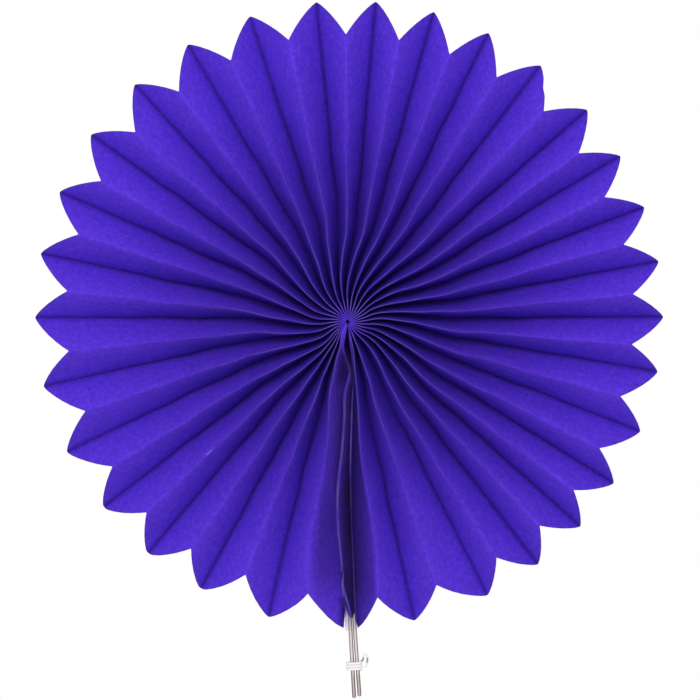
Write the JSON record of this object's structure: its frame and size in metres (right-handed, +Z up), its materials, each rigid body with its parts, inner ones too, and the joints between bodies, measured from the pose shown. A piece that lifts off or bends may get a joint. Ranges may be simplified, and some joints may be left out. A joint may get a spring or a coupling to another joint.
{
  "type": "paper fan rosette",
  "caption": "Full round rosette of fan-folded tissue paper with a petal-cut rim, a seam at the bottom and two tied stays under it.",
  "frame": {"origin": "centre of the eye in the hub, half way through the rosette's depth", "axes": "+Z up, with the seam and the tied stays at -Z; the front faces -Y, so +X is to the right seen from the front"},
  "size_m": [0.4, 0.0304, 0.4465],
  "materials": {
    "tissue_paper": "matte violet tissue paper",
    "thread": "violet cotton thread",
    "stay": "cream wrapped stays, satin",
    "tie_cord": "white soft cord",
    "tape": "pale adhesive tape"
  },
  "bodies": {
    "root": {"pleated_sheet": "tissue_paper", "centre_thread": "thread", "left_stay": "stay", "right_stay": "stay", "stem_tie": "tie_cord", "adhesive_strip": "tape"}
  },
  "joints": []
}
